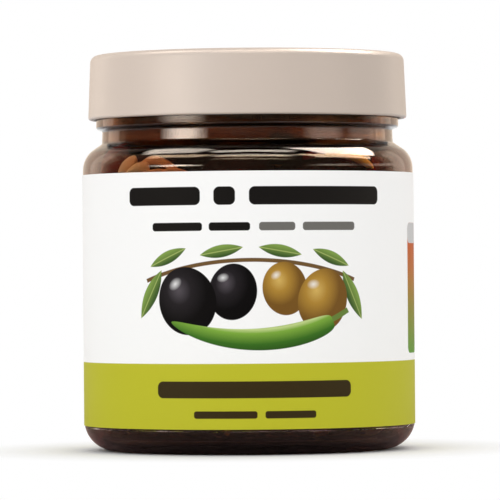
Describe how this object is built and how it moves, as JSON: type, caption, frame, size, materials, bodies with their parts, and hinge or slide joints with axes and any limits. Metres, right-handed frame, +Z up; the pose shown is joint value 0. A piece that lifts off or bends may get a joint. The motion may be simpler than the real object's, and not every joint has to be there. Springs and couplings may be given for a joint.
{
  "type": "jar of pickles",
  "caption": "Squat round glass jar of olive and chilli pickle in dark spiced oil, closed by a smooth screw lid and wrapped in a plain two-colour label.",
  "frame": {"origin": "centre of the base, on the surface the jar stands on", "axes": "+Z up along the jar's axis; the middle of the label faces -Y, +X is to the right of someone reading it"},
  "size_m": [0.069, 0.0689, 0.0822],
  "materials": {
    "glass": "gloss",
    "lid": "satin",
    "label": "satin",
    "pickles": "gloss",
    "oil": "gloss"
  },
  "bodies": {
    "root": {"jar": "glass", "lid": "lid", "label": "label", "pickles": "pickles", "oil": "oil"}
  },
  "joints": []
}
